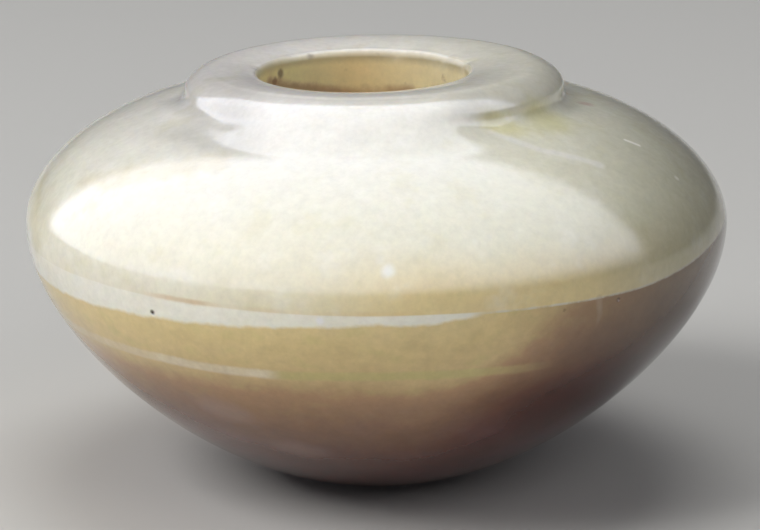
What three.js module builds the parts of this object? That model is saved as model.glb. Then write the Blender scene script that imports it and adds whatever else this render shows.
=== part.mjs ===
// Alabaster jar: a squat, round-bottomed stone vessel with a rounded collar about a narrow mouth.
// It was carved from one block and drilled out from above, so it is one hollow solid.
// Millimetres, +Z up. The origin is the middle of the small flat that the jar stands on.
import * as THREE from "three";

// Outside of the body
const BELLY_RADIUS = 60; // the widest ring
const BELLY_HEIGHT = 45.2; // of the widest ring above the ground
const STANDING_RADIUS = 8.6; // the flat ground on the round bottom

// How the outside curves, as shares of the width and height of the stretch in question
const UNDERSIDE_RUN_SHARE = 0.396; // the width over which the underside stays nearly level
const UNDERSIDE_LIFT_SHARE = 0.024; // the height that it gains there
const UNDERSIDE_RISE_SHARE = 0.412; // the height over which it stays nearly upright
const SHOULDER_RISE_SHARE = 0.519; // the height over which the shoulder stays nearly upright
const SHOULDER_RUN_SHARE = 0.434; // the width over which it stays nearly level, at the collar
const SHOULDER_DROP_SHARE = 0.038; // the height that it loses there
const COLLAR_ROUND_SHARE = 0.42; // of the collar's rounding, between flat and square

// Collar round the mouth
const COLLAR_FOOT_RADIUS = 31.8; // where it rises from the shoulder
const COLLAR_FOOT_HEIGHT = 65.75;
const COLLAR_OVERHANG = 0.4; // its widest ring beyond its foot
const COLLAR_SIDE = 2.6; // its widest ring above its foot
const COLLAR_THICKNESS = 5.7; // its crest above its foot
const COLLAR_EDGE_ROUND = 5.3; // how far the rounding of its edge reaches in to its crest
const COLLAR_DISH = 0.85; // how far its top falls from crest to mouth
const COLLAR_TILT_DEG = 1.2; // its right side stands a little high

// Hollow
const MOUTH_RADIUS = 17.8; // the drilled throat
const MOUTH_OFFSET = -2.3; // the throat stands left of the middle
const OFFSET_END_RADIUS = 34.4; // the shift has died away this far from the middle
const LIP_ROUND = 1.4; // rounding from the collar's top into the throat
const THROAT_ROUND = 2; // rounding from the throat out under the shoulder
const FLOOR_THICKNESS = 9;
const BELLY_WALL = 7;
const SHOULDER_WALL = 6;

// Steps along each stretch of the outline, and round the axis
const STEPS_AROUND = 72;
const STEPS_UNDERSIDE = 13;
const STEPS_SHOULDER = 10;
const STEPS_EDGE = 7;
const STEPS_TOP = 3;
const STEPS_LIP = 3;
const STEPS_THROAT_ROUND = 2;

const point = (radius, height) => new THREE.Vector2(radius, height);
const radians = THREE.MathUtils.degToRad;

// The underside swells from the standing flat to the widest ring.
function undersideCurve() {
  const run = BELLY_RADIUS - STANDING_RADIUS;
  return new THREE.CubicBezierCurve(
    point(STANDING_RADIUS, 0),
    point(STANDING_RADIUS + UNDERSIDE_RUN_SHARE * run, UNDERSIDE_LIFT_SHARE * BELLY_HEIGHT),
    point(BELLY_RADIUS, (1 - UNDERSIDE_RISE_SHARE) * BELLY_HEIGHT),
    point(BELLY_RADIUS, BELLY_HEIGHT),
  );
}

// The shoulder closes in from the widest ring to the collar's foot.
function shoulderCurve() {
  const rise = COLLAR_FOOT_HEIGHT - BELLY_HEIGHT;
  const run = BELLY_RADIUS - COLLAR_FOOT_RADIUS;
  return new THREE.CubicBezierCurve(
    point(BELLY_RADIUS, BELLY_HEIGHT),
    point(BELLY_RADIUS, BELLY_HEIGHT + SHOULDER_RISE_SHARE * rise),
    point(COLLAR_FOOT_RADIUS + SHOULDER_RUN_SHARE * run, COLLAR_FOOT_HEIGHT - SHOULDER_DROP_SHARE * rise),
    point(COLLAR_FOOT_RADIUS, COLLAR_FOOT_HEIGHT),
  );
}

// Part of a circle about a centre, anticlockwise between two angles in degrees.
function arc(centre, radius, fromDeg, toDeg, steps) {
  return new THREE.EllipseCurve(
    centre.x, centre.y, radius, radius, radians(fromDeg), radians(toDeg), false,
  ).getPoints(steps);
}

const widestCollar = point(
  COLLAR_FOOT_RADIUS + COLLAR_OVERHANG,
  COLLAR_FOOT_HEIGHT + COLLAR_SIDE,
);
const collarCrest = point(
  widestCollar.x - COLLAR_EDGE_ROUND,
  COLLAR_FOOT_HEIGHT + COLLAR_THICKNESS,
);

// The collar's side stands almost straight on its foot, then rounds over to its crest.
function collarEdge() {
  const over = new THREE.CubicBezierCurve(
    widestCollar,
    point(
      widestCollar.x,
      THREE.MathUtils.lerp(widestCollar.y, collarCrest.y, COLLAR_ROUND_SHARE),
    ),
    point(
      THREE.MathUtils.lerp(collarCrest.x, widestCollar.x, COLLAR_ROUND_SHARE),
      collarCrest.y,
    ),
    collarCrest,
  );
  return over.getPoints(STEPS_EDGE);
}

// The collar's top falls ever faster to the lip, which turns down into the throat.
function collarTop() {
  const lip = point(MOUTH_RADIUS + LIP_ROUND, collarCrest.y - COLLAR_DISH);
  const top = [];
  for (let step = 1; step < STEPS_TOP; step++) {
    const share = step / STEPS_TOP;
    top.push(point(
      THREE.MathUtils.lerp(collarCrest.x, lip.x, share),
      collarCrest.y - COLLAR_DISH * share * share,
    ));
  }
  const turn = arc(point(lip.x, lip.y - LIP_ROUND), LIP_ROUND, 90, 180, STEPS_LIP);
  return [...top, ...turn];
}

// Points inside a curve of the outside, a wall's thickness away square to it.
function wallInside(curve, startWall, endWall, steps) {
  const inside = [];
  for (let step = 0; step <= steps; step++) {
    const share = step / steps;
    const outer = curve.getPoint(share);
    const along = curve.getTangent(share);
    const wall = THREE.MathUtils.lerp(startWall, endWall, share);
    inside.push(point(outer.x - wall * along.y, outer.y + wall * along.x));
  }
  return inside;
}

// The hollow, from the throat out under the shoulder and down to the middle of the floor.
function hollow() {
  const ceiling = wallInside(shoulderCurve(), BELLY_WALL, SHOULDER_WALL, STEPS_SHOULDER);
  const bowl = wallInside(undersideCurve(), FLOOR_THICKNESS, BELLY_WALL, STEPS_UNDERSIDE);
  const corner = point(MOUTH_RADIUS + THROAT_ROUND, ceiling.at(-1).y + THROAT_ROUND);
  const turn = arc(corner, THROAT_ROUND, 180, 270, STEPS_THROAT_ROUND);
  return [...turn, ...ceiling.reverse(), ...bowl.slice(0, -1).reverse(), point(0, FLOOR_THICKNESS)];
}

// The whole outline, from the middle of the standing flat round to the middle of the floor.
function jarOutline() {
  return [
    point(0, 0),
    ...undersideCurve().getPoints(STEPS_UNDERSIDE),
    ...shoulderCurve().getPoints(STEPS_SHOULDER).slice(1),
    ...collarEdge(),
    ...collarTop(),
    ...hollow(),
  ];
}

// The mouth stands off the middle. The shift dies away outwards, and below the throat.
function offsetAt(radius, height) {
  if (height < COLLAR_FOOT_HEIGHT - SHOULDER_WALL) {
    return 0;
  }
  const share = (OFFSET_END_RADIUS - radius) / (OFFSET_END_RADIUS - MOUTH_RADIUS);
  return MOUTH_OFFSET * THREE.MathUtils.clamp(share, 0, 1);
}

// The collar is thicker to the right, in proportion to the height above its foot.
function tiltSlopeAt(height) {
  const share = (height - COLLAR_FOOT_HEIGHT) / COLLAR_THICKNESS;
  return Math.tan(radians(COLLAR_TILT_DEG)) * THREE.MathUtils.clamp(share, 0, 1);
}

// Turns the outline about the axis, then sets the mouth off the middle and tilts the collar.
function jarGeometry() {
  const geometry = new THREE.LatheGeometry(jarOutline(), STEPS_AROUND);
  geometry.rotateX(Math.PI / 2);
  const position = geometry.getAttribute("position");
  for (let i = 0; i < position.count; i++) {
    const x = position.getX(i);
    const z = position.getZ(i);
    const radius = Math.hypot(x, position.getY(i));
    position.setX(i, x + offsetAt(radius, z));
    position.setZ(i, z + tiltSlopeAt(z) * x);
  }
  geometry.computeVertexNormals();
  return geometry;
}

// Polished, honey-tinted calcite
const alabaster = new THREE.MeshStandardMaterial({
  color: new THREE.Color(0.82, 0.77, 0.62),
  roughness: 0.28,
  metalness: 0,
});

const jar = new THREE.Mesh(jarGeometry(), alabaster);
jar.name = "jar";

const part = new THREE.Group();
part.add(jar);

export default part;
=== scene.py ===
"""The looks of an alabaster jar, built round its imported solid.

The jar is one carved piece: a squat, round-bottomed body, a thick rounded collar and a drilled
hollow. Outlines, veins and marks are in millimetres, in the solid's own frame. Meshes, lights and
the camera are in metres.
"""

from __future__ import annotations

import logging
import math
from dataclasses import dataclass, field
from enum import Enum
from typing import Union

import bpy
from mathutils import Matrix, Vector, noise


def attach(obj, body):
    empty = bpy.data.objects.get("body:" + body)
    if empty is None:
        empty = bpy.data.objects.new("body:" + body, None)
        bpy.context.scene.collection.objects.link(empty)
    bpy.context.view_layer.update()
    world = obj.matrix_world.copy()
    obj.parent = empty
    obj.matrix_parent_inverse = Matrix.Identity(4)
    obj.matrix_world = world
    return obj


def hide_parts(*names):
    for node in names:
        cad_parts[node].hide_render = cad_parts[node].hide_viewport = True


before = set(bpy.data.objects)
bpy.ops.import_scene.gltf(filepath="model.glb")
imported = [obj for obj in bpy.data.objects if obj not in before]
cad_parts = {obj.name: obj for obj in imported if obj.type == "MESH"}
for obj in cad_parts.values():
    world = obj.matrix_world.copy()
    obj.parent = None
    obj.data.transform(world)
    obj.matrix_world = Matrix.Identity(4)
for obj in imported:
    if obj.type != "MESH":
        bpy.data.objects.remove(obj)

LOG = logging.getLogger("alabaster_jar")
MM = 0.001
RAMP_TOP = 75.0  # height in millimetres at which a ramp of shades ends
SEARCH_STEPS = 400  # in which a curve is cut to look for a place on it
Colour = tuple[float, float, float]
Place = tuple[float, float, float]
Point = tuple[float, float]
Shades = tuple[tuple[float, Colour], ...]


# Plain sums


def stone_colour(red: int, green: int, blue: int) -> Colour:
    """Turns a colour as it is seen into the light it stands for.

    Args:
        red: Red from 0 to 255.
        green: Green from 0 to 255.
        blue: Blue from 0 to 255.

    Returns:
        The same colour in linear light, from 0 to 1.
    """

    def linear(level: int) -> float:
        """One channel in linear light."""
        share = level / 255
        return share / 12.92 if share <= 0.04045 else ((share + 0.055) / 1.055) ** 2.4

    return linear(red), linear(green), linear(blue)


MILK = stone_colour(250, 249, 243)
CHALK = stone_colour(252, 248, 234)
OLIVE = stone_colour(208, 200, 132)
PLUM = stone_colour(116, 78, 78)


def between(start: float, end: float, share: float) -> float:
    """The value that lies a share of the way from start to end."""
    return start + (end - start) * share


def held(value: float, low: float = 0.0, high: float = 1.0) -> float:
    """The value, kept within low and high."""
    return min(max(value, low), high)


def smooth(value: float) -> float:
    """A step that eases from 0 at 0 to 1 at 1."""
    share = held(value)
    return share * share * (3 - 2 * share)


# Curves of the outline, as (radius, height) points


@dataclass(frozen=True)
class Bow:
    """A smooth curve from its start to its end, drawn towards two points between them."""

    start: Point
    near_start: Point
    near_end: Point
    end: Point
    nudge: float = 0.001

    def at(self, share: float) -> Point:
        """The point a share of the way along.

        Args:
            share: Share of the way, from 0 to 1.

        Returns:
            Radius and height.
        """
        rest = 1 - share
        weights = (rest**3, 3 * rest * rest * share, 3 * rest * share * share, share**3)
        ends = (self.start, self.near_start, self.near_end, self.end)
        return (
            sum(w * p[0] for w, p in zip(weights, ends)),
            sum(w * p[1] for w, p in zip(weights, ends)),
        )

    def heading(self, share: float) -> Point:
        """The unit direction of travel a share of the way along.

        Args:
            share: Share of the way, from 0 to 1.

        Returns:
            Run and rise, one long together.
        """
        before, after = self.at(held(share - self.nudge)), self.at(held(share + self.nudge))
        run, rise = after[0] - before[0], after[1] - before[1]
        length = math.hypot(run, rise)
        return run / length, rise / length

    def points(self, steps: int) -> list[Point]:
        """Evenly shared points along the curve, with both ends."""
        return [self.at(i / steps) for i in range(steps + 1)]

    def inside(self, start_wall: float, end_wall: float, steps: int) -> list[Point]:
        """Points a wall's thickness inside the curve, square to it.

        Args:
            start_wall: Wall at the curve's start.
            end_wall: Wall at its end.
            steps: Number of steps along the curve.

        Returns:
            The points, from start to end.
        """
        found = []
        for i in range(steps + 1):
            share = i / steps
            radius, height = self.at(share)
            run, rise = self.heading(share)
            wall = between(start_wall, end_wall, share)
            found.append((radius - wall * rise, height + wall * run))
        return found


def straight(start: Point, end: Point, steps: int) -> list[Point]:
    """Points of a straight stretch, without its start.

    Args:
        start: Where it starts.
        end: Where it ends.
        steps: Number of steps along it.

    Returns:
        The points, the end last.
    """
    return [
        (between(start[0], end[0], i / steps), between(start[1], end[1], i / steps))
        for i in range(1, steps + 1)
    ]


def turn(centre: Point, radius: float, from_deg: float, to_deg: float, steps: int) -> list[Point]:
    """Points of a rounding about a centre.

    Args:
        centre: Middle of the rounding.
        radius: Its radius.
        from_deg: Angle of its first point, anticlockwise from outwards.
        to_deg: Angle of its last point.
        steps: Number of steps between them.

    Returns:
        The points, first to last.
    """
    angles = [math.radians(between(from_deg, to_deg, i / steps)) for i in range(steps + 1)]
    return [(centre[0] + radius * math.cos(a), centre[1] + radius * math.sin(a)) for a in angles]


# Materials: sums on a socket become Math nodes


class Wire:
    """The output of a node, on which sums can be written like on a number."""

    def __init__(self, graph: "Graph", socket: bpy.types.NodeSocket) -> None:
        """Wraps a socket of a graph."""
        self.graph = graph
        self.socket = socket

    def _sum(self, operation: str, *values: "Number") -> "Wire":
        """Adds one Math node."""
        return self.graph.value("ShaderNodeMath", {"operation": operation}, dict(enumerate(values)))

    def __add__(self, other: "Number") -> "Wire":
        """This plus other."""
        return self._sum("ADD", self, other)

    def __radd__(self, other: "Number") -> "Wire":
        """Other plus this."""
        return self._sum("ADD", other, self)

    def __sub__(self, other: "Number") -> "Wire":
        """This less other."""
        return self._sum("SUBTRACT", self, other)

    def __rsub__(self, other: "Number") -> "Wire":
        """Other less this."""
        return self._sum("SUBTRACT", other, self)

    def __mul__(self, other: "Number") -> "Wire":
        """This times other."""
        return self._sum("MULTIPLY", self, other)

    def __rmul__(self, other: "Number") -> "Wire":
        """Other times this."""
        return self._sum("MULTIPLY", other, self)

    def __abs__(self) -> "Wire":
        """This without its sign."""
        return self._sum("ABSOLUTE", self)

    def least(self, other: "Number") -> "Wire":
        """The lesser of this and other."""
        return self._sum("MINIMUM", self, other)

    def most(self, other: "Number") -> "Wire":
        """The greater of this and other."""
        return self._sum("MAXIMUM", self, other)

    def rise(self, low: "Number", high: "Number") -> "Wire":
        """A smooth step, 0 at low and 1 at high."""
        return self.graph.value(
            "ShaderNodeMapRange",
            {"interpolation_type": "SMOOTHSTEP"},
            {"Value": self, "From Min": low, "From Max": high},
        )

    def fall(self, low: "Number", high: "Number") -> "Wire":
        """A smooth step, 1 at low and 0 at high."""
        return 1 - self.rise(low, high)

    def band(self, middle: "Number", half: "Number", blur: float) -> "Wire":
        """A band, 1 within half of the middle, with edges that blur over a width."""
        return abs(self - middle).fall(half, half + blur)


Number = Union[Wire, float, int]
Sockets = dict[Union[int, str], object]


class Graph:
    """The nodes of one material."""

    def __init__(self, tree: bpy.types.NodeTree) -> None:
        """Starts on an empty tree."""
        self.tree = tree
        self.tree.nodes.clear()

    def node(
        self, kind: str, settings: dict[str, object] | None = None, sockets: Sockets | None = None
    ) -> bpy.types.Node:
        """Makes one node.

        Args:
            kind: Blender's name for the type of node.
            settings: The node's own settings, set first. "stops" holds a ramp's places and colours.
            sockets: Values or links for its inputs, by number, identifier or name.

        Returns:
            The new node.
        """
        made = self.tree.nodes.new(kind)
        for name, setting in (settings or {}).items():
            if name == "stops":
                self._set_stops(made.color_ramp, setting)
            else:
                setattr(made, name, setting)
        for key, value in (sockets or {}).items():
            self._feed(self._input(made, key), value)
        return made

    def value(
        self,
        kind: str,
        settings: dict[str, object] | None = None,
        sockets: Sockets | None = None,
        output: int | str = 0,
    ) -> Wire:
        """Makes one node and gives one of its outputs, by number or name."""
        return Wire(self, self.node(kind, settings, sockets).outputs[output])

    @staticmethod
    def _set_stops(ramp: bpy.types.ColorRamp, stops: list[tuple[float, Colour]]) -> None:
        """Gives a ramp its colours.

        Args:
            ramp: The ramp.
            stops: Places from 0 to 1, and their colours.
        """
        while len(ramp.elements) < len(stops):
            ramp.elements.new(1.0)
        for element, (place, colour) in zip(ramp.elements, stops):
            element.position = place
            element.color = (*colour, 1.0)

    @staticmethod
    def _input(made: bpy.types.Node, key: int | str) -> bpy.types.NodeSocket:
        """Finds an input by its number, identifier or name.

        Args:
            made: The node.
            key: The input's number, identifier or name.

        Returns:
            The input.
        """
        if isinstance(key, int):
            return made.inputs[key]
        for socket in made.inputs:
            if socket.identifier == key:
                return socket
        return made.inputs[key]

    def _feed(self, socket: bpy.types.NodeSocket, value: object) -> None:
        """Links a wire to a socket, or sets its value.

        Args:
            socket: The input to feed.
            value: A wire, an output, a colour, a vector or a number.
        """
        if isinstance(value, Wire):
            self.tree.links.new(value.socket, socket)
        elif isinstance(value, bpy.types.NodeSocket):
            self.tree.links.new(value, socket)
        elif isinstance(value, tuple) and socket.type == "RGBA":
            socket.default_value = (*value, 1.0)
        else:
            socket.default_value = value

    def blend(self, under: Wire | Colour, over: Wire | Colour, share: Number) -> Wire:
        """Lays one colour over another.

        Args:
            under: Colour where share is 0.
            over: Colour where share is 1.
            share: How much of the upper colour shows.

        Returns:
            The mixed colour.
        """
        sockets = {"Factor_Float": share, "A_Color": under, "B_Color": over}
        return self.value("ShaderNodeMix", {"data_type": "RGBA"}, sockets, 2)

    def vector(self, operation: str, *values: object, output: str = "Vector") -> Wire:
        """One Vector Math node."""
        return self.value(
            "ShaderNodeVectorMath", {"operation": operation}, dict(enumerate(values)), output
        )

    def scaled(self, vector: Wire | Place, factor: Number) -> Wire:
        """A vector or colour, times a number."""
        sockets = {0: vector, "Scale": factor}
        return self.value("ShaderNodeVectorMath", {"operation": "SCALE"}, sockets)

    def clouds(self, place: Wire, size: float, detail: float = 2.0, rough: float = 0.5) -> Wire:
        """Noise about 0.5, of a given grain size.

        Args:
            place: Position to read the noise at, in millimetres.
            size: Width of its patches in millimetres.
            detail: How many finer layers are added.
            rough: How strong the finer layers are.

        Returns:
            The noise, from 0 to 1.
        """
        sockets = {"Vector": place, "Scale": 1 / size, "Detail": detail, "Roughness": rough}
        return self.value("ShaderNodeTexNoise", {"noise_dimensions": "3D"}, sockets)

    def split(self, vector: Wire) -> tuple[Wire, Wire, Wire]:
        """The three parts of a vector."""
        x, y, z = self.node("ShaderNodeSeparateXYZ", None, {0: vector}).outputs
        return Wire(self, x), Wire(self, y), Wire(self, z)

    def ramp(self, shades: Shades, height: Wire) -> Wire:
        """The shade at a height, blended between the shades below and above it.

        Args:
            shades: Heights in millimetres and their colours, lowest first.
            height: Where to read them.

        Returns:
            The colour.
        """
        stops = [(place / RAMP_TOP, colour) for place, colour in shades]
        level = height * (1 / RAMP_TOP)
        return self.value("ShaderNodeValToRGB", {"stops": stops}, {"Fac": level})


# The stone


@dataclass
class Bed:
    """What the stone's patterns are read from: position, layers and shared noises."""

    graph: Graph
    place: Wire
    x: Wire
    y: Wire
    z: Wire
    layer: Wire
    fine: Wire
    broad: Wire

    def strayed(self, along: Wire, reach: float) -> Wire:
        """A place or height, moved to and fro over a reach by the broad noise."""
        return along + (self.broad - 0.5) * reach if reach else along

    def frayed(self, along: Wire, reach: float) -> Wire:
        """A place or height, moved to and fro over a reach by the fine noise."""
        return along + (self.fine - 0.5) * reach


@dataclass(frozen=True)
class Span:
    """A stretch over which a tint comes or goes: places in millimetres, or levels of a noise."""

    low: float
    high: float
    stray: float = 0.0

    def rise(self, bed: Bed, along: Wire) -> Wire:
        """0 before the stretch and 1 after it."""
        return bed.strayed(along, self.stray).rise(self.low, self.high)

    def fall(self, bed: Bed, along: Wire) -> Wire:
        """1 before the stretch and 0 after it."""
        return bed.strayed(along, self.stray).fall(self.low, self.high)


@dataclass(frozen=True)
class Belt:
    """A belt about a middle, with soft edges, in millimetres."""

    middle: float
    half: float
    blur: float
    stray: float = 0.0

    def cover(self, bed: Bed, along: Wire) -> Wire:
        """1 within the belt and 0 beyond its soft edges."""
        return bed.strayed(along, self.stray).band(self.middle, self.half, self.blur)


@dataclass(frozen=True)
class Tint:
    """A colour that is laid over the stone at a share of its full strength."""

    colour: Colour
    share: float

    def over(self, bed: Bed, under: Wire, cover: Wire) -> Wire:
        """The stone with the tint laid over it where it covers."""
        return bed.graph.blend(under, self.colour, cover * self.share)


@dataclass(frozen=True)
class Spot:
    """A small mark in or on the stone, about a point in millimetres."""

    place: Place
    radius: float
    tint: Tint
    stretch: Place = (1.0, 1.0, 1.0)
    ragged: float = 0.8
    depth: float = 0.0
    core: float = 0.3
    edge: float = 1.3

    def cover(self, bed: Bed) -> Wire:
        """How much the spot covers.

        Args:
            bed: Position and shared noises.

        Returns:
            The cover, from 0 to 1.
        """
        offset = bed.graph.vector("SUBTRACT", bed.place, self.place)
        shaped = bed.graph.vector("MULTIPLY", offset, self.stretch)
        away = bed.graph.vector("LENGTH", shaped, output="Value")
        frayed = bed.frayed(away, self.ragged * self.radius)
        return frayed.fall(self.radius * self.core, self.radius * self.edge)


@dataclass(frozen=True)
class Streak:
    """A mark along a bent line through points in millimetres."""

    path: tuple[Place, ...]
    half: float
    blur: float
    tint: Tint

    def cover(self, bed: Bed) -> Wire:
        """How much the streak covers.

        Args:
            bed: Position and shared noises.

        Returns:
            The cover, from 0 to 1.
        """
        graph = bed.graph
        covers = []
        for start, end in zip(self.path, self.path[1:]):
            along = Vector(end) - Vector(start)
            offset = graph.vector("SUBTRACT", bed.place, start)
            run = graph.vector("DOT_PRODUCT", offset, tuple(along), output="Value")
            share = (run * (1 / along.length_squared)).most(0.0).least(1.0)
            foot = graph.scaled(tuple(along), share)
            away = graph.vector("DISTANCE", offset, foot, output="Value")
            covers.append(bed.frayed(away, self.blur).fall(self.half, self.half + self.blur))
        cover = covers[0]
        for other in covers[1:]:
            cover = cover.most(other)
        return cover


@dataclass(frozen=True)
class CreamStone:
    """Stone above the seam: painted light at left, honey low in the middle, greener at right."""

    shades: Shades = (
        (43.0, stone_colour(238, 226, 188)),
        (50.0, stone_colour(238, 232, 206)),
        (58.0, stone_colour(238, 235, 218)),
        (66.0, stone_colour(240, 237, 229)),
        (74.0, stone_colour(242, 238, 236)),
    )
    shades_stray: float = 6.0
    # Painted light: a whiter tint on the left, where the reflection lies.
    painted_light_milk: Tint = Tint(MILK, 0.25)
    painted_milk_left: Span = Span(-46.0, -8.0, stray=18.0)
    painted_milk_layers: Belt = Belt(50.0, 7.0, 8.0)
    moss: Tint = Tint(stone_colour(228, 227, 199), 0.6)
    moss_right: Span = Span(-30.0, 44.0, stray=24.0)
    honey: Tint = Tint(stone_colour(240, 214, 144), 0.7)
    honey_low: Span = Span(45.5, 55.0, stray=3.6)
    honey_across: Belt = Belt(20.0, 12.0, 24.0, stray=12.0)
    # Painted reflection: a white tint low on the left, just above the seam.
    chalk: Tint = Tint(MILK, 0.35)
    painted_chalk_left: Span = Span(-34.0, -6.0, stray=18.0)
    painted_chalk_layers: Belt = Belt(44.0, 2.0, 4.0)
    cloud_size: float = 7.0
    milk_cloud: Tint = Tint(MILK, 0.25)
    milk_cloud_levels: Span = Span(0.52, 0.75)
    olive_cloud: Tint = Tint(OLIVE, 0.14)
    olive_cloud_levels: Span = Span(0.3, 0.46)

    def colour(self, bed: Bed) -> Wire:
        """The stone's colour.

        Args:
            bed: Position, layers and shared noises.

        Returns:
            The colour.
        """
        colour = bed.graph.ramp(self.shades, bed.strayed(bed.layer, self.shades_stray))
        painted_milk_cover = self.painted_milk_left.fall(bed, bed.x) * self.painted_milk_layers.cover(bed, bed.layer)
        colour = self.painted_light_milk.over(bed, colour, painted_milk_cover)
        colour = self.moss.over(bed, colour, self.moss_right.rise(bed, bed.x))
        honeyed = self.honey_low.fall(bed, bed.layer) * self.honey_across.cover(bed, bed.x)
        colour = self.honey.over(bed, colour, honeyed)
        painted_chalk_cover = self.painted_chalk_left.fall(bed, bed.x) * self.painted_chalk_layers.cover(bed, bed.layer)
        colour = self.chalk.over(bed, colour, painted_chalk_cover)
        cloud = bed.graph.clouds(bed.place, self.cloud_size, 3.0, 0.6)
        colour = self.milk_cloud.over(bed, colour, self.milk_cloud_levels.rise(bed, cloud))
        return self.olive_cloud.over(bed, colour, self.olive_cloud_levels.fall(bed, cloud))


@dataclass(frozen=True)
class HoneyStone:
    """The stone below the seam: honey, then mauve-brown, which climbs to the right."""

    # Partly painted shade: the stone darkens towards the bottom, which faces away from the lamps.
    shades: Shades = (
        (0.0, stone_colour(74, 29, 19)),
        (10.0, stone_colour(87, 42, 27)),
        (15.0, stone_colour(107, 61, 38)),
        (20.0, stone_colour(134, 94, 62)),
        (25.0, stone_colour(168, 130, 94)),
        (28.5, stone_colour(192, 154, 114)),
        (32.0, stone_colour(222, 196, 142)),
        (38.0, stone_colour(232, 209, 150)),
        (43.0, stone_colour(234, 213, 158)),
    )
    shades_stray: float = 5.0
    shades_fray: float = 2.0
    climb: float = 15.0
    climb_right: Span = Span(10.0, 36.0)
    early_climb: float = 5.0
    early_climb_right: Span = Span(4.0, 20.0)
    early_climb_below: Span = Span(25.0, 33.0)
    sheets_per_mm: Place = (0.2, 0.2, 0.36)
    olive_sheet: Tint = Tint(OLIVE, 0.28)
    olive_sheet_levels: Span = Span(0.5, 0.75)
    olive_sheet_above: Span = Span(22.0, 32.0)
    plum_sheet: Tint = Tint(PLUM, 0.08)
    plum_sheet_levels: Span = Span(0.25, 0.5)
    rose: Tint = Tint(PLUM, 0.4)
    rose_below: Span = Span(18.0, 34.0)
    rose_levels: Span = Span(0.45, 0.7)
    # Painted shade: the honey stone darkens further towards the jar's right.
    painted_right_shade: Span = Span(16.0, 52.0)
    painted_right_shade_share: float = 0.47

    def colour(self, bed: Bed) -> Wire:
        """The stone's colour.

        Args:
            bed: Position, layers and shared noises.

        Returns:
            The colour.
        """
        graph = bed.graph
        below = self.early_climb_below.fall(bed, bed.layer)
        early = self.early_climb_right.rise(bed, bed.x) * below * self.early_climb
        climb = self.climb_right.rise(bed, bed.x) * self.climb + early
        level = bed.layer - climb
        wandering = bed.frayed(bed.strayed(level, self.shades_stray), self.shades_fray)
        colour = graph.ramp(self.shades, wandering)
        across, along, up = self.sheets_per_mm
        flat = graph.vector("MULTIPLY", bed.place, (across, along, 0.0))
        stacked = graph.value("ShaderNodeCombineXYZ", None, {2: bed.layer * up})
        sheet = graph.clouds(graph.vector("ADD", flat, stacked), 1.0)
        olive = self.olive_sheet_levels.rise(bed, sheet) * self.olive_sheet_above.rise(bed, level)
        colour = self.olive_sheet.over(bed, colour, olive)
        colour = self.plum_sheet.over(bed, colour, self.plum_sheet_levels.fall(bed, sheet))
        rosy = self.rose_below.fall(bed, bed.layer) * self.rose_levels.rise(bed, bed.broad)
        colour = self.rose.over(bed, colour, rosy)
        # Painted shade towards the jar's right.
        shade = self.painted_right_shade.rise(bed, bed.x) * self.painted_right_shade_share
        return graph.scaled(colour, 1 - shade)


@dataclass(frozen=True)
class WhiteVein:
    """The white vein under the seam: widest at the far left, tapering out to the right."""

    colour: Colour = CHALK
    thickness: float = 1.5
    widens_left_of: float = -2.0
    widening: float = 0.06
    most: float = 4.3
    ends_at: float = 18.0
    taper: float = 0.17
    fray: float = 1.4
    top: Span = Span(-0.35, -0.05)
    foot: Span = Span(-0.5, 0.4)
    thins_out: Span = Span(0.0, 0.7)
    density: float = 0.98
    cloudiness: float = 0.6

    def over(self, bed: Bed, under: Wire, depth: Wire) -> Wire:
        """Lays the vein over the stone.

        Args:
            bed: Position and shared noises.
            under: The stone's colour.
            depth: Depth under the seam.

        Returns:
            The colour with the vein.
        """
        widened = self.thickness - (bed.x - self.widens_left_of).least(0.0) * self.widening
        tapered = widened.least((self.ends_at - bed.x) * self.taper)
        thick = tapered.least(self.most).most(0.0)
        below = bed.frayed(depth, self.fray).fall(thick + self.foot.low, thick + self.foot.high)
        inside = self.top.rise(bed, depth) * below * self.thins_out.rise(bed, thick)
        cloudy = self.density + (bed.broad - 0.5) * self.cloudiness
        return bed.graph.blend(under, self.colour, inside * cloudy)


@dataclass(frozen=True)
class SeamLines:
    """The fine lines on the seam: broken rust at the left, a pale thread at the right."""

    rust: Tint = Tint(stone_colour(206, 164, 104), 0.5)
    rust_line: Belt = Belt(-0.45, 0.1, 0.6)
    rust_fray: float = 0.42
    rust_left: Belt = Belt(-31.0, 2.0, 6.0)
    rust_middle: Belt = Belt(-9.0, 7.0, 10.0)
    rust_middle_share: float = 0.7
    rust_breaks: Span = Span(0.3, 0.6)
    thread: Colour = stone_colour(226, 220, 204)
    thread_line: Belt = Belt(0.0, 0.08, 0.22)
    thread_fray: float = 0.14
    thread_right: Span = Span(12.0, 20.0)
    thread_breaks: Span = Span(0.4, 0.6)
    thread_least: float = 0.2
    thread_gain: float = 0.6

    def over(self, bed: Bed, under: Wire, depth: Wire) -> Wire:
        """Lays the lines over the stone.

        Args:
            bed: Position and shared noises.
            under: The stone's colour.
            depth: Depth under the seam.

        Returns:
            The colour with the lines.
        """
        middle = self.rust_middle.cover(bed, bed.x) * self.rust_middle_share
        reach = self.rust_left.cover(bed, bed.x).most(middle)
        rust = self.rust_line.cover(bed, bed.frayed(depth, self.rust_fray))
        broken = self.rust_breaks.rise(bed, bed.broad) * reach
        colour = self.rust.over(bed, under, rust * broken)
        line = self.thread_line.cover(bed, bed.frayed(depth, self.thread_fray))
        thread = line * self.thread_right.rise(bed, bed.x)
        faint = self.thread_least + self.thread_breaks.rise(bed, bed.fine) * self.thread_gain
        return bed.graph.blend(colour, self.thread, thread * faint)


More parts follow.
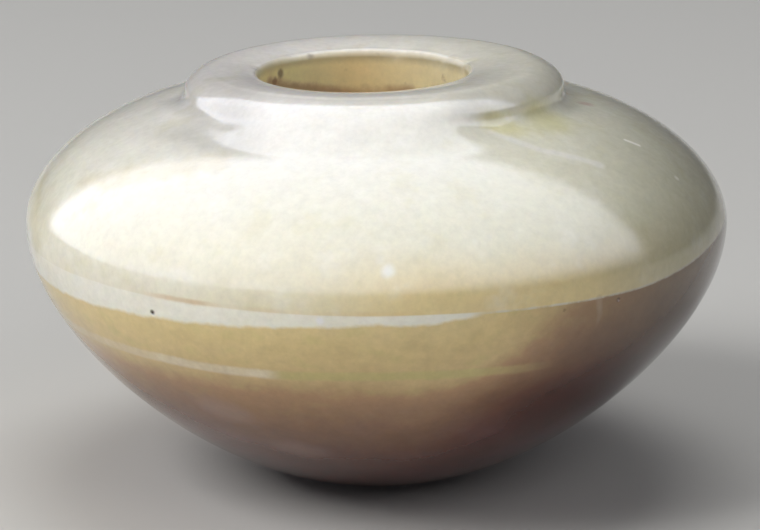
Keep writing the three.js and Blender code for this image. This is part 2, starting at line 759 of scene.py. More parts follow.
@dataclass(frozen=True)
class LowerVein:
    """The thin vein in the honey stone: chalky at the left, olive from there on."""

    depth: float = 11.2
    fray: float = 0.7
    line: Belt = Belt(0.0, 0.4, 0.8)
    lift: float = 0.5
    lifts_right: Span = Span(-20.0, 0.0)
    turns_olive: Span = Span(-18.0, -14.0)
    chalk: Tint = Tint(CHALK, 0.6)
    chalk_least: float = 0.2
    chalk_far_left: Span = Span(-46.0, -30.0)
    chalk_far_left_least: float = 0.4
    olive: Tint = Tint(OLIVE, 0.6)
    olive_right: Span = Span(14.0, 30.0)

    def over(self, bed: Bed, under: Wire, depth: Wire) -> Wire:
        """Lays the vein over the stone.

        Args:
            bed: Position and shared noises.
            under: The stone's colour.
            depth: Depth under the seam.

        Returns:
            The colour with the vein.
        """
        lower = bed.frayed(depth - self.depth, self.fray)
        line = self.line.cover(bed, lower + self.lifts_right.rise(bed, bed.x) * self.lift)
        olive = self.turns_olive.rise(bed, bed.x)
        gain = self.chalk_far_left.rise(bed, bed.x) * (1 - self.chalk_far_left_least)
        speckled = (self.chalk_least + bed.fine) * (self.chalk_far_left_least + gain)
        colour = self.chalk.over(bed, under, line * (1 - olive) * speckled)
        return self.olive.over(bed, colour, line * olive * self.olive_right.fall(bed, bed.x))


@dataclass(frozen=True)
class DrilledStone:
    """Drilled throat and hollow: tan, stained, painted light on the walls and shade at the lip."""

    tan: Colour = stone_colour(240, 214, 150)
    # Painted light: a paler tan on the throat's right wall, which the lamps light.
    glow: Colour = stone_colour(234, 220, 176)
    painted_lit_right: Span = Span(-12.0, 16.0, stray=20.0)
    # Painted light: a pale tan that lightens the throat's shaded left wall.
    pale: Colour = stone_colour(255, 244, 190)
    painted_pale_left: Span = Span(-16.0, -2.0)
    stain: Tint = Tint(stone_colour(120, 74, 48), 0.45)
    stain_size: float = 3.2
    stain_levels: Span = Span(0.62, 0.8)
    # Painted shade: the lip's rounding and the throat's top are darkened to dim their lit band.
    lip: Span = Span(67.8, 69.6)
    painted_lip_shade: float = 0.44

    def colour(self, bed: Bed) -> Wire:
        """The drilled stone's colour.

        Args:
            bed: Position and shared noises.

        Returns:
            The colour.
        """
        graph = bed.graph
        colour = graph.blend(self.tan, self.glow, self.painted_lit_right.rise(bed, bed.x))
        colour = graph.blend(colour, self.pale, self.painted_pale_left.fall(bed, bed.x))
        noise_level = graph.clouds(bed.place, self.stain_size, 4.0, 0.6)
        colour = self.stain.over(bed, colour, self.stain_levels.rise(bed, noise_level))
        return graph.scaled(colour, 1 - self.lip.rise(bed, bed.z) * self.painted_lip_shade)


@dataclass(frozen=True)
class PaintedCollarShade:
    """Painted shade dimming highlights on the collar's edge, on both sides of its worn front."""

    share: float = 0.24
    from_axis: Span = Span(25.5, 30.0)
    front: Span = Span(-14.0, 6.0)
    right: Span = Span(8.0, 16.0)
    right_height: Span = Span(67.6, 70.0)
    left: Span = Span(-23.0, -15.0)
    left_height: Span = Span(65.2, 66.8)
    left_foot_height: Span = Span(62.6, 64.6)
    left_foot_front: Span = Span(-24.0, -14.0)

    def cover(self, bed: Bed) -> Wire:
        """How much the painted shade covers.

        Args:
            bed: Position and shared noises.

        Returns:
            The cover, from 0 to 1.
        """
        across = bed.graph.vector("MULTIPLY", bed.place, (1.0, 1.0, 0.0))
        radius = bed.graph.vector("LENGTH", across, output="Value")
        front = self.front.fall(bed, bed.y)
        right = self.right_height.rise(bed, bed.z) * self.right.rise(bed, bed.x) * front
        foot = self.left_foot_height.rise(bed, bed.z) * self.left_foot_front.fall(bed, bed.y)
        edge = self.left_height.rise(bed, bed.z) * front
        left = edge.most(foot) * self.left.fall(bed, bed.x)
        return (right + left) * self.from_axis.rise(bed, radius)


@dataclass(frozen=True)
class Alabaster:
    """Polished, banded calcite: cream above a level seam, honey and then mauve-brown below it."""

    cream: CreamStone = CreamStone()
    honey: HoneyStone = HoneyStone()
    white_vein: WhiteVein = WhiteVein()
    seam_lines: SeamLines = SeamLines()
    lower_vein: LowerVein = LowerVein()
    drilled: DrilledStone = DrilledStone()
    # Painted shade that dims the highlights on the collar's edge.
    painted_collar_shade: PaintedCollarShade = PaintedCollarShade()
    seam: float = 43.4
    seam_blur: float = 0.15
    seam_turns_up: float = 40.0
    seam_upturn: float = 0.01
    sway: float = 0.5
    sway_size: float = 24.0
    fine_size: float = 3.6
    broad_size: float = 22.0
    mottle_size: float = 1.3
    mottling: float = 0.2
    # Painted shade: the outside darkens towards the jar's right, the side the lamps leave dark.
    painted_right_shade: Span = Span(24.0, 62.0)
    painted_right_shade_share: float = 0.5
    roughness: float = 0.14
    roughness_patch: float = 0.1
    roughness_patch_size: float = 9.0
    roughness_mottle: float = 0.08
    hollow_roughness: float = 0.5
    refraction: float = 1.58
    translucence: float = 0.3
    light_reach: Place = (1.0, 0.75, 0.45)
    light_reach_scale: float = 0.006
    polish: float = 0.35
    polish_roughness: float = 0.1
    relief: float = 0.012
    pits: tuple[Spot, ...] = (
        Spot((-35.6, -47.7, 40.8), 0.5, Tint(stone_colour(64, 46, 36), 1.0), depth=0.5),
        Spot((38.6, -45.8, 42.4), 0.45, Tint(stone_colour(96, 66, 56), 0.6), depth=0.3),
        Spot((29.7, -52.1, 42.3), 0.35, Tint(stone_colour(96, 66, 56), 0.45), depth=0.2),
    )
    flecks_and_painted_highlights: tuple[Spot, ...] = (
        # Painted highlights: these three are white specks on the belly's front.
        Spot((-8.8, -59.1, 42.6), 0.75, Tint(stone_colour(250, 248, 244), 0.9)),
        Spot((1.8, -58.5, 50.4), 1.3, Tint(stone_colour(255, 254, 250), 0.7)),
        Spot((0.6, -57.9, 52.0), 0.8, Tint(stone_colour(255, 254, 250), 0.2)),
        # A pale fleck on the right shoulder.
        Spot((49.6, -21.1, 56.5), 0.6, Tint(stone_colour(240, 238, 228), 0.5)),
        # Painted reflection: a bright dot at the collar's foot on the right.
        Spot((21.0, -24.3, 67.5), 0.7, Tint(stone_colour(255, 255, 250), 0.9)),
    )
    collar_tints_and_painted_shade: tuple[Spot, ...] = (
        # Olive tints on the collar's right side, partly painted shade on its unlit face.
        Spot((20.5, -26.5, 66.4), 3.2, Tint(stone_colour(216, 208, 128), 0.5), (0.5, 1.0, 1.0)),
        Spot((28.5, -20.5, 66.6), 4.6, Tint(stone_colour(216, 210, 142), 0.55), (0.8, 0.8, 1.3)),
        # Painted shadow: a dark pink spot where the collar meets the shoulder on the right.
        Spot((35.5, -3.0, 65.3), 1.6, Tint(stone_colour(190, 140, 140), 0.4)),
        Spot((-31.5, -7.2, 67.6), 0.5, Tint(stone_colour(150, 140, 124), 0.5)),
    )
    mauve_blooms: tuple[Spot, ...] = (
        Spot((-24.6, -42.4, 22.9), 4.2, Tint(stone_colour(176, 150, 140), 0.4), (0.6, 1.0, 1.2)),
        Spot((-13.1, -38.7, 15.1), 3.8, Tint(stone_colour(160, 132, 122), 0.35), (0.6, 1.0, 1.2)),
        Spot((-20.5, -43.4, 18.0), 2.4, Tint(stone_colour(176, 152, 142), 0.35)),
    )
    throat_spots: tuple[Spot, ...] = (
        Spot((-16.6, 10.7, 67.8), 0.9, Tint(stone_colour(104, 76, 40), 0.7), ragged=1.8),
        Spot((-17.8, 9.2, 66.6), 0.8, Tint(stone_colour(104, 72, 40), 0.6), ragged=1.8),
        Spot((-11.4, 15.3, 70.0), 0.8, Tint(stone_colour(110, 92, 60), 0.6), ragged=1.8),
    )
    collar_vein: Streak = Streak(
        ((18.4, -28.8, 65.5), (26.4, -31.8, 63.7), (36.2, -30.8, 61.0)),
        0.3, 1.1, Tint(stone_colour(246, 244, 240), 0.5),
    )
    shoulder_nick: Streak = Streak(
        ((41.3, -17.8, 62.2), (43.5, -17.5, 61.3)),
        0.2, 0.4, Tint(stone_colour(250, 248, 240), 0.85),
    )
    # A faint greyish line running down from the seam on the right.
    seam_drop_line: Streak = Streak(
        ((35.2, -48.4, 43.4), (35.8, -48.0, 40.4), (35.0, -47.8, 36.8)),
        0.25, 0.7, Tint(stone_colour(190, 172, 150), 0.4),
    )
    # A soft yellowish arc across the left shoulder.
    left_shoulder_arc: Streak = Streak(
        ((-49.0, -25.0, 57.0), (-37.0, -33.0, 60.3), (-26.0, -36.0, 62.8)),
        0.6, 3.4, Tint(stone_colour(222, 204, 156), 0.26),
    )
    # A darker olive streak down the belly's far left.
    far_left_streak: Streak = Streak(
        ((-57.5, -8.0, 52.0), (-56.5, -19.5, 45.8)),
        0.8, 3.6, Tint(stone_colour(206, 198, 140), 0.4),
    )
    # Painted shadow: a dark reddish band low on the throat's back wall.
    throat_painted_shadow: Streak = Streak(
        ((-18.4, 7.7, 66.0), (-13.4, 14.0, 63.8), (-6.4, 17.3, 62.4), (5.9, 15.8, 62.8)),
        0.7, 1.6, Tint(stone_colour(150, 84, 52), 0.6),
    )

    def material(self, name: str) -> bpy.types.Material:
        """Makes the stone's material.

        Args:
            name: The material's name.

        Returns:
            The material.
        """
        material = bpy.data.materials.new(name)
        material.use_nodes = True
        graph = Graph(material.node_tree)
        bed = self._bed(graph)
        hollow = graph.value("ShaderNodeAttribute", {"attribute_name": "hollow"}, output="Fac")
        colour = graph.blend(self._outside(bed), self.drilled.colour(bed), hollow)
        for mark in self._marks():
            colour = mark.tint.over(bed, colour, mark.cover(bed))
        mottle = graph.clouds(bed.place, self.mottle_size, 2.0, 0.7)
        mottled = 1 + (mottle - 0.5) * self.mottling + (bed.fine - 0.5) * self.mottling
        patches = graph.clouds(bed.place, self.roughness_patch_size, 3.0)
        rough = self.roughness + (patches - 0.5) * self.roughness_patch
        rough = rough + (mottle - 0.5) * self.roughness_mottle
        shader = graph.node(
            "ShaderNodeBsdfPrincipled",
            None,
            {
                "Base Color": graph.scaled(colour, mottled),
                "Roughness": rough * (1 - hollow) + self.hollow_roughness * hollow,
                "IOR": self.refraction,
                "Subsurface Weight": self.translucence,
                "Subsurface Radius": self.light_reach,
                "Subsurface Scale": self.light_reach_scale,
                "Coat Weight": self.polish,
                "Coat Roughness": self.polish_roughness,
                "Normal": self._direction(bed, mottle),
            },
        )
        graph.node("ShaderNodeOutputMaterial", None, {"Surface": shader.outputs[0]})
        return material

    def _marks(self) -> tuple[Spot | Streak, ...]:
        """Gathers the marks.

        Returns:
            All marks, in the order in which they are laid over the stone.
        """
        spots = (*self.pits, *self.flecks_and_painted_highlights, *self.collar_tints_and_painted_shade, *self.mauve_blooms)
        veins = (self.collar_vein, self.shoulder_nick, self.seam_drop_line)
        streaks_and_painted_shadow = (self.left_shoulder_arc, self.far_left_streak, self.throat_painted_shadow)
        return (*spots, *self.throat_spots, *veins, *streaks_and_painted_shadow)

    def _bed(self, graph: Graph) -> Bed:
        """Sets out the position in millimetres and the layers, which sway and turn up at the right.

        Args:
            graph: The material's nodes.

        Returns:
            What the patterns are read from.
        """
        object_place = graph.value("ShaderNodeTexCoord", output="Object")
        place = graph.vector("MULTIPLY", object_place, (1 / MM, 1 / MM, 1 / MM))
        x, y, z = graph.split(place)
        sway = (graph.clouds(place, self.sway_size) - 0.5) * self.sway
        beyond = (x - self.seam_turns_up).most(0.0)
        layer = z - beyond * beyond * self.seam_upturn - sway
        fine = graph.clouds(place, self.fine_size, 4.0, 0.65)
        broad = graph.clouds(place, self.broad_size, 3.0, 0.55)
        return Bed(graph, place, x, y, z, layer, fine, broad)

    def _outside(self, bed: Bed) -> Wire:
        """The colour of the outside: both stones, the veins, and the painted shade laid over them.

        Args:
            bed: Position, layers and shared noises.

        Returns:
            The colour.
        """
        above = bed.layer.rise(self.seam - self.seam_blur, self.seam + self.seam_blur)
        colour = bed.graph.blend(self.honey.colour(bed), self.cream.colour(bed), above)
        depth = self.seam - bed.layer
        for vein in (self.white_vein, self.seam_lines, self.lower_vein):
            colour = vein.over(bed, colour, depth)
        # Painted shade towards the jar's right and on the collar's edge.
        right = 1 - self.painted_right_shade.rise(bed, bed.x) * self.painted_right_shade_share
        collar_shade_factor = 1 - self.painted_collar_shade.cover(bed) * self.painted_collar_shade.share
        return bed.graph.scaled(colour, right * collar_shade_factor)

    def _direction(self, bed: Bed, mottle: Wire) -> Wire:
        """The finest relief: polishing marks and pits.

        Args:
            bed: Position and shared noises.
            mottle: Small grains, about 0.5.

        Returns:
            The surface's direction.
        """
        height = mottle * self.relief
        for pit in self.pits:
            height = height - pit.cover(bed) * pit.depth
        sockets = {"Strength": 1.0, "Distance": MM, "Height": height}
        return bed.graph.value("ShaderNodeBump", None, sockets)


@dataclass(frozen=True)
class PalePaint:
    """A matt, even surface for the floor."""

    colour: Colour = stone_colour(205, 204, 200)
    roughness: float = 0.9
    shine: float = 0.1

    def material(self, name: str) -> bpy.types.Material:
        """Makes the material.

        Args:
            name: The material's name.

        Returns:
            The material.
        """
        material = bpy.data.materials.new(name)
        material.use_nodes = True
        graph = Graph(material.node_tree)
        sockets = {
            "Base Color": self.colour,
            "Roughness": self.roughness,
            "Specular IOR Level": self.shine,
        }
        shader = graph.node("ShaderNodeBsdfPrincipled", None, sockets)
        graph.node("ShaderNodeOutputMaterial", None, {"Surface": shader.outputs[0]})
        return material


# The jar


@dataclass(frozen=True)
class Chip:
    """A shallow bruise: the surface sinks about a point, in millimetres."""

    place: Place
    radius: float
    depth: float


@dataclass(frozen=True)
class Station:
    """A point of the outline that is turned into a ring."""

    point: Point
    hollow: float = 0.0
    worn: Point | None = None

    def at(self, wear: float) -> Point:
        """The point, moved by a share towards where wear has brought it.

        Args:
            wear: Share of the wear, from 0 to 1.

        Returns:
            Radius and height.
        """
        if self.worn is None:
            return self.point
        return (
            between(self.point[0], self.worn[0], wear),
            between(self.point[1], self.worn[1], wear),
        )


@dataclass(frozen=True)
class Steps:
    """How many steps each stretch of the outline is cut into."""

    standing: int = 4
    underside: int = 72
    shoulder: int = 56
    fillet: int = 10
    collar_side: int = 3
    collar_edge: int = 20
    collar_top: int = 12
    lip: int = 10
    throat: int = 10
    throat_round: int = 6
    under_collar: int = 5
    ceiling: int = 28
    bowl: int = 44
    floor: int = 5
    around: int = 240


@dataclass
class Jar:
    """The carved jar, with the solid's own sizes in millimetres."""

    belly_radius: float = 60.0
    belly_height: float = 45.2
    standing_radius: float = 8.6
    underside_run: float = 0.396
    underside_lift: float = 0.024
    underside_rise: float = 0.412
    shoulder_rise: float = 0.519
    shoulder_run: float = 0.434
    shoulder_drop: float = 0.038
    collar_foot: Point = (31.8, 65.75)
    collar_overhang: float = 0.4
    collar_side: float = 2.6
    collar_thickness: float = 5.7
    collar_edge_round: float = 5.3
    collar_round: float = 0.42
    collar_dish: float = 0.85
    collar_tilt_deg: float = 1.2
    fillet_reach: float = 3.0
    fillet_gap: float = 0.15
    fillet_low: Point = (1.0, -0.03)
    fillet_high: Point = (0.1, 0.5)
    fillet_top: Point = (0.28, 1.6)
    mouth_radius: float = 17.8
    mouth_offset: float = -2.3
    offset_end_radius: float = 34.4
    lip_round: float = 1.4
    throat_round: float = 2.0
    floor_thickness: float = 9.0
    belly_wall: float = 7.0
    shoulder_wall: float = 6.0
    slope_reach: float = 41.0
    slope_top: float = 28.2
    slope_top_height: float = 70.0
    slope_start_pull: float = 4.0
    slope_end_pull: Point = (6.4, -0.45)
    wear: tuple[Point, ...] = (
        (-94.0, 0.0),
        (-70.0, 0.4),
        (-46.0, 0.55),
        (-25.0, 1.0),
        (8.0, 1.0),
        (36.0, 0.25),
        (62.0, 0.2),
        (84.0, 0.0),
    )
    steps: Steps = Steps()
    unevenness: float = 0.09
    wave_length: float = 19.0
    ripple_length: float = 6.0
    ripple_share: float = 0.35
    chip_grain: float = 1.1
    even_below: float = 0.5
    chips: tuple[Chip, ...] = (
        Chip((14.2, 5.5, 70.6), 3.4, 0.45),
        Chip((10.8, 11.5, 70.6), 3.2, 0.35),
        Chip((3.5, 16.6, 70.7), 2.8, 0.3),
        Chip((-19.6, 4.0, 70.4), 2.4, 0.3),
    )
    stone: Alabaster = field(default_factory=Alabaster)

    def underside(self) -> Bow:
        """The outside from the standing flat to the widest ring.

        Returns:
            The curve.
        """
        run = self.belly_radius - self.standing_radius
        return Bow(
            (self.standing_radius, 0.0),
            (
                self.standing_radius + self.underside_run * run,
                self.underside_lift * self.belly_height,
            ),
            (self.belly_radius, (1 - self.underside_rise) * self.belly_height),
            (self.belly_radius, self.belly_height),
        )

    def shoulder(self) -> Bow:
        """The outside from the widest ring to the collar's foot.

        Returns:
            The curve, from the widest ring up.
        """
        foot_radius, foot_height = self.collar_foot
        rise = foot_height - self.belly_height
        run = self.belly_radius - foot_radius
        return Bow(
            (self.belly_radius, self.belly_height),
            (self.belly_radius, self.belly_height + self.shoulder_rise * rise),
            (foot_radius + self.shoulder_run * run, foot_height - self.shoulder_drop * rise),
            self.collar_foot,
        )

    def collar_side_points(self) -> list[Point]:
        """From the shoulder over the collar's foot and rounded edge to its crest.

        Returns:
            The points, lowest first.
        """
        foot_radius, foot_height = self.collar_foot
        widest = (foot_radius + self.collar_overhang, foot_height + self.collar_side)
        crest = (widest[0] - self.collar_edge_round, foot_height + self.collar_thickness)
        over = Bow(
            widest,
            (widest[0], between(widest[1], crest[1], self.collar_round)),
            (between(crest[0], widest[0], self.collar_round), crest[1]),
            crest,
        )
        reach = foot_radius + self.fillet_reach
        on_shoulder = min(self.shoulder().points(SEARCH_STEPS), key=lambda p: abs(p[0] - reach))
        low, high, top = (
            (foot_radius + out, foot_height + up)
            for out, up in (self.fillet_low, self.fillet_high, self.fillet_top)
        )
        fillet = Bow(on_shoulder, low, high, top)
        side = straight(top, widest, self.steps.collar_side)
        return [
            *fillet.points(self.steps.fillet),
            *side,
            *over.points(self.steps.collar_edge)[1:],
        ]

    def collar_top(self) -> list[Station]:
        """From the collar's crest down its dished top and over the lip into the throat.

        Returns:
            The stations, with the lip turning from outside to hollow.
        """
        foot_height = self.collar_foot[1]
        crest_radius = self.collar_foot[0] + self.collar_overhang - self.collar_edge_round
        crest_height = foot_height + self.collar_thickness
        lip = (self.mouth_radius + self.lip_round, crest_height - self.collar_dish)
        top = []
        for i in range(1, self.steps.collar_top):
            share = i / self.steps.collar_top
            height = crest_height - self.collar_dish * share**2
            top.append(Station((between(crest_radius, lip[0], share), height)))
        middle = (lip[0], lip[1] - self.lip_round)
        rounding = turn(middle, self.lip_round, 90, 180, self.steps.lip)
        for i, point in enumerate(rounding):
            top.append(Station(point, smooth(i / (self.steps.lip - 1))))
        return top

    def worn_slope(self, hard: list[Point]) -> list[Point]:
        """Where wear has brought a stretch of the outline: one soft slope from end to end.

        Args:
            hard: The stretch's points as they were carved.

        Returns:
            As many points, at the same shares of the way.
        """
        start, end = hard[0], hard[-1]
        run, rise = hard[1][0] - start[0], hard[1][1] - start[1]
        length, pull = math.hypot(run, rise), self.slope_start_pull
        slope = Bow(
            start,
            (start[0] + pull * run / length, start[1] + pull * rise / length),
            (end[0] + self.slope_end_pull[0], end[1] + self.slope_end_pull[1]),
            end,
        )
        reached = [0.0]
        for before, after in zip(hard, hard[1:]):
            reached.append(reached[-1] + math.hypot(after[0] - before[0], after[1] - before[1]))
        return [slope.at(way / reached[-1]) for way in reached]

    def cavity(self) -> list[Point]:
        """The hollow, from the foot of the throat round to the middle of the floor.

        Returns:
            The points, from the throat on.
        """
        steps = self.steps
        shoulder, underside = self.shoulder(), self.underside()
        ceiling = shoulder.inside(self.belly_wall, self.shoulder_wall, steps.ceiling)[::-1]
        bowl = underside.inside(self.floor_thickness, self.belly_wall, steps.bowl)[:-1][::-1]
        corner = (self.mouth_radius + self.throat_round, ceiling[0][1] + self.throat_round)
        rounding = turn(corner, self.throat_round, 180, 270, steps.throat_round)
        level = straight(rounding[-1], ceiling[0], steps.under_collar)
        centre = straight(bowl[-1], (0.0, self.floor_thickness), steps.floor)
        return [*rounding, *level, *ceiling[1:], *bowl, *centre]

    def stations(self) -> list[Station]:
        """The whole outline, from the middle of the standing flat to the middle of the floor.

        Returns:
            The stations, in the order of the rings.
        """
        axis = (0.0, 0.0)
        flat = [axis, *straight(axis, (self.standing_radius, 0.0), self.steps.standing)]
        underside = self.underside().points(self.steps.underside)[1:]
        shoulder = self.shoulder().points(self.steps.shoulder)[1:]
        reach = self.collar_foot[0] + self.fillet_reach + self.fillet_gap
        outer = [p for p in shoulder if p[0] > self.slope_reach]
        middle = [p for p in shoulder if reach < p[0] <= self.slope_reach]
        side = self.collar_side_points()
        worn = [p for p in side if p[0] > self.slope_top or p[1] < self.slope_top_height]
        hard, rest = [*middle, *worn], side[len(worn) :]
        top = self.collar_top()
        cavity = self.cavity()
        throat = straight(top[-1].point, cavity[0], self.steps.throat)[:-1]
        return [
            *(Station(point) for point in [*flat, *underside, *outer]),
            *(Station(point, worn=soft) for point, soft in zip(hard, self.worn_slope(hard))),
            *(Station(point) for point in rest),
            *top,
            *(Station(point, 1.0) for point in [*throat, *cavity]),
        ]

    def offset_at(self, radius: float, height: float) -> float:
        """How far the mouth's shift moves a point along x.

        Args:
            radius: The point's distance from the axis.
            height: Its height.

        Returns:
            The shift in millimetres.
        """
        if height < self.collar_foot[1] - self.shoulder_wall:
            return 0.0
        reach = self.offset_end_radius - self.mouth_radius
        return self.mouth_offset * held((self.offset_end_radius - radius) / reach)

    def tilt_at(self, height: float) -> float:
        """The slope along x that the collar's tilt gives a point."""
        share = held((height - self.collar_foot[1]) / self.collar_thickness)
        return math.tan(math.radians(self.collar_tilt_deg)) * share

    def wear_at(self, angle: float) -> float:
        """How far the collar's front has worn to a slope at an angle about the axis.

        Args:
            angle: Angle about the axis, in radians.

        Returns:
            The share of the wear, from 0 to 1.
        """
        from_front = math.degrees(math.atan2(math.cos(angle), -math.sin(angle)))
        for (start, before), (end, after) in zip(self.wear, self.wear[1:]):
            if start <= from_front < end:
                return between(before, after, smooth((from_front - start) / (end - start)))
        return 0.0

    def place(self, point: Point, angle: float) -> Vector:
        """A point of the outline, turned about the axis and set where the mouth and tilt put it.

        Args:
            point: Radius and height.
            angle: Angle about the axis, in radians.

        Returns:
            The place in millimetres.
        """
        radius, height = point
        x, y = radius * math.cos(angle), radius * math.sin(angle)
        return Vector((x + self.offset_at(radius, height), y, height + self.tilt_at(height) * x))

    def sunk(self, place: Vector, outward: Vector) -> Vector:
        """Sinks a point of the surface by the unevenness of hand carving and by the chips.

        Args:
            place: The point in millimetres.
            outward: The surface's direction there.

        Returns:
            The sunken point.
        """
        ripple = noise.noise(place / self.ripple_length)
        wave = noise.noise(place / self.wave_length) + self.ripple_share * ripple
        depth = self.unevenness * held(0.5 + 0.5 * wave)
        for chip in self.chips:
            away = (place - Vector(chip.place)).length
            if away < chip.radius:
                rough = 0.75 + 0.5 * noise.noise(place * self.chip_grain)
                depth += chip.depth * rough * (1 - (away / chip.radius) ** 2) ** 2
        return place - outward * depth

    def build(self) -> bpy.types.Object:
        """Makes the jar's mesh and dresses it.

        Returns:
            The finished piece.
        """
        rings = self.stations()
        last = len(rings) - 1
        around = self.steps.around
        angles = [2 * math.pi * step / around for step in range(around)]
        places: list[Vector] = []
        hollow: list[float] = []
        starts: list[int] = []
        for index, ring in enumerate(rings):
            starts.append(len(places))
            for angle in angles if 0 < index < last else angles[:1]:
                wear = self.wear_at(angle)
                before = rings[max(index - 1, 0)].at(wear)
                after = rings[min(index + 1, last)].at(wear)
                run, rise = after[0] - before[0], after[1] - before[1]
                outward = Vector((math.cos(angle) * rise, math.sin(angle) * rise, -run))
                spot = self.place(ring.at(wear), angle)
                if spot.z > self.even_below:
                    spot = self.sunk(spot, outward.normalized())
                places.append(spot)
                hollow.append(ring.hollow)
        mesh = bpy.data.meshes.new("carved_jar")
        mesh.from_pydata([p * MM for p in places], [], self._faces(starts, last))
        mesh.attributes.new("hollow", "FLOAT", "POINT").data.foreach_set("value", hollow)
        mesh.shade_smooth()
        mesh.update()
        piece = bpy.data.objects.new("carved_jar", mesh)
        bpy.context.scene.collection.objects.link(piece)
        piece.data.materials.append(self.stone.material("alabaster"))
        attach(piece, "root")
        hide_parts("jar")
        return piece

    def _faces(self, starts: list[int], last: int) -> list[tuple[int, ...]]:
        """Joins the rings of points into faces that look outwards.

        Args:
            starts: Number of each ring's first point.
            last: Number of the last ring.

        Returns:
            The faces.
        """
        faces: list[tuple[int, ...]] = []
        for row in range(last):
            lower, upper = starts[row], starts[row + 1]
            for step in range(self.steps.around):
                after = (step + 1) % self.steps.around
                if row == 0:
                    faces.append((lower, upper + after, upper + step))
                elif row == last - 1:
                    faces.append((lower + step, lower + after, upper))
                else:
                    faces.append((lower + step, lower + after, upper + after, upper + step))
        return faces


# The studio


class Seen(Enum):
    """Which rays a light is met by."""

    SHADING = "shading"
    REFLECTION = "reflection"


@dataclass(frozen=True)
class SoftBox:
    """A square, soft lamp that looks at the jar."""

    name: str
    towards: Place
    distance: float
    width: float
    watts: float
    aim_height: float = 0.045
    seen: Seen = Seen.SHADING

    def build(self) -> bpy.types.Object:
        """Hangs the lamp.

        Returns:
            The lamp.
        """
        lamp = bpy.data.lights.new(self.name, "AREA")
        lamp.shape = "SQUARE"
        lamp.size = self.width
        lamp.energy = self.watts
        hung = bpy.data.objects.new(self.name, lamp)
        direction = Vector(self.towards).normalized()
        hung.location = Vector((0.0, 0.0, self.aim_height)) + direction * self.distance
        hung.rotation_mode = "QUATERNION"
        hung.rotation_quaternion = (-direction).to_track_quat("-Z", "Y")
        hung.visible_glossy = self.seen is Seen.REFLECTION
        bpy.context.scene.collection.objects.link(hung)
        return hung


@dataclass(frozen=True)
class LightTent:
    """A large white tent, open at the back, that the polished stone mirrors."""

    radius: float = 2.4
    strength: float = 2.4
    back_edge: float = 0.66
    right_start: float = 0.757
    right_slope: float = 0.70
    blur: float = 0.03
    foot: float = -0.03
    foot_blur: float = 0.29
    foot_blur_slope: float = 0.2
    colour: Colour = (0.97, 1.0, 1.14)
    rings: int = 24
    turns: int = 48

    def build(self) -> bpy.types.Object:
        """Makes the tent.

        Returns:
            The tent, which only mirrored rays meet.
        """
        rings, turns = self.rings, self.turns
        places = [Vector((0.0, 0.0, self.radius))]
        for ring in range(1, rings):
            tilt = math.pi * ring / rings
            for step in range(turns):
                angle = 2 * math.pi * step / turns
                flat = self.radius * math.sin(tilt)
                height = self.radius * math.cos(tilt)
                places.append(Vector((flat * math.cos(angle), flat * math.sin(angle), height)))
        faces: list[tuple[int, ...]] = [
            (0, 1 + step, 1 + (step + 1) % turns) for step in range(turns)
        ]
        for ring in range(rings - 2):
            upper, lower = 1 + ring * turns, 1 + (ring + 1) * turns
            for step in range(turns):
                after = (step + 1) % turns
                faces.append((upper + step, lower + step, lower + after, upper + after))
        mesh = bpy.data.meshes.new("light_tent")
        mesh.from_pydata(places, [], faces)
        tent = bpy.data.objects.new("light_tent", mesh)
        tent.data.materials.append(self._cloth())
        tent.visible_camera = False
        tent.visible_diffuse = False
        tent.visible_shadow = False
        tent.visible_transmission = False
        tent.visible_volume_scatter = False
        bpy.context.scene.collection.objects.link(tent)
        return tent

    def _cloth(self) -> bpy.types.Material:
        """Makes the tent's glowing cloth, which ends at the open back and at the floor.

        Returns:
            The material.
        """
        material = bpy.data.materials.new("tent_cloth")
        material.use_nodes = True
        graph = Graph(material.node_tree)
        place = graph.value("ShaderNodeTexCoord", output="Object")
        direction = graph.vector("NORMALIZE", place)
        x, y, z = graph.split(direction)
        edge = (self.right_start - x * self.right_slope).least(self.back_edge)
        whole = x * self.foot_blur_slope + (self.foot + self.foot_blur)
        cloth = y.fall(edge - self.blur, edge + self.blur) * z.rise(self.foot, whole)
        light = {"Color": self.colour, "Strength": self.strength}
        glow = graph.node("ShaderNodeEmission", None, light)
        clear = graph.node("ShaderNodeBsdfTransparent")
        sockets = {0: cloth, 1: clear.outputs[0], 2: glow.outputs[0]}
        mixed = graph.node("ShaderNodeMixShader", None, sockets)
        graph.node("ShaderNodeOutputMaterial", None, {"Surface": mixed.outputs[0]})
        return material


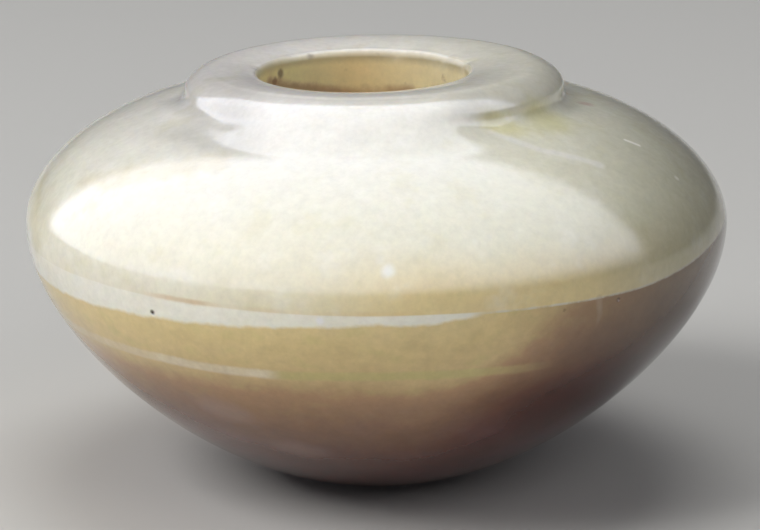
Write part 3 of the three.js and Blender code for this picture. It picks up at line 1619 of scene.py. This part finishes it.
@dataclass(frozen=True)
class Studio:
    """The floor, the lights and the camera round the jar."""

    floor_radius: float = 4.0
    floor_corners: int = 96
    floor_paint: PalePaint = PalePaint()
    ambient: Colour = (0.10, 0.10, 0.105)
    look_at_height: float = 0.03874
    camera_distance: float = 0.5813
    camera_elevation_deg: float = 14.4
    focal_pixels: float = 3370.0
    picture: tuple[int, int] = (760, 530)
    look_at_pixel: Point = (376.5, 250.6)
    sensor_width: float = 36.0
    nearest: float = 0.05
    farthest: float = 30.0
    lamps: tuple[SoftBox, ...] = (
        SoftBox("key_softbox", (-0.66, -0.36, 0.66), 1.4, 0.7, 12.6),
        SoftBox("front_softbox", (0.42, -0.68, 0.60), 1.6, 0.8, 3.4),
        SoftBox("top_softbox", (0.05, 0.15, 1.00), 1.6, 0.9, 8.2),
    )
    tent: LightTent = LightTent()

    def build_floor(self) -> bpy.types.Object:
        """Lays the floor.

        Returns:
            The floor.
        """
        steps = self.floor_corners
        places = [Vector((0.0, 0.0, 0.0))]
        for step in range(steps):
            angle = 2 * math.pi * step / steps
            places.append(Vector((math.cos(angle), math.sin(angle), 0.0)) * self.floor_radius)
        faces = [(0, 1 + step, 1 + (step + 1) % steps) for step in range(steps)]
        mesh = bpy.data.meshes.new("floor")
        mesh.from_pydata(places, [], faces)
        floor = bpy.data.objects.new("floor", mesh)
        floor.data.materials.append(self.floor_paint.material("pale_floor"))
        bpy.context.scene.collection.objects.link(floor)
        return floor

    def build_light(self) -> None:
        """Sets the even light of the room and hangs the lamps and the tent."""
        world = bpy.data.worlds.new("room")
        bpy.context.scene.world = world
        world.use_nodes = True
        graph = Graph(world.node_tree)
        room = graph.node("ShaderNodeBackground", None, {"Color": self.ambient, "Strength": 1.0})
        graph.node("ShaderNodeOutputWorld", None, {"Surface": room.outputs[0]})
        for lamp in self.lamps:
            lamp.build()
        self.tent.build()

    def build_camera(self) -> bpy.types.Object:
        """Sets the camera where the jar is seen from.

        Returns:
            The camera.
        """
        elevation = math.radians(self.camera_elevation_deg)
        back = Vector((0.0, -math.cos(elevation), math.sin(elevation)))
        up = Vector((0.0, math.sin(elevation), math.cos(elevation)))
        right = Vector((1.0, 0.0, 0.0))
        across = self.picture[0] / 2 - self.look_at_pixel[0]
        down = self.picture[1] / 2 - self.look_at_pixel[1]
        aim = right * across - up * down - back * self.focal_pixels
        data = bpy.data.cameras.new("camera")
        data.sensor_width = self.sensor_width
        data.lens = self.focal_pixels / self.picture[0] * data.sensor_width
        data.clip_start = self.nearest
        data.clip_end = self.farthest
        camera = bpy.data.objects.new("camera", data)
        camera.location = Vector((0.0, 0.0, self.look_at_height)) + back * self.camera_distance
        camera.rotation_mode = "QUATERNION"
        camera.rotation_quaternion = aim.to_track_quat("-Z", "Y")
        bpy.context.scene.collection.objects.link(camera)
        bpy.context.scene.camera = camera
        return camera


def main() -> None:
    """Builds the jar and its studio, and reports each piece."""
    logging.basicConfig(level=logging.INFO, format="%(name)s: %(message)s")
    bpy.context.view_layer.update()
    bpy.context.scene.view_settings.view_transform = "Standard"
    studio = Studio()
    camera = studio.build_camera()
    LOG.info("camera with a %.0f mm lens", camera.data.lens)
    jar = Jar().build()
    LOG.info("jar with %d faces, %.1f mm high", len(jar.data.polygons), jar.dimensions.z / MM)
    floor = studio.build_floor()
    LOG.info("floor %.1f m across", floor.dimensions.x)
    studio.build_light()
    LOG.info("%d lamps and the light tent", len(studio.lamps))


if __name__ == "__main__":
    main()
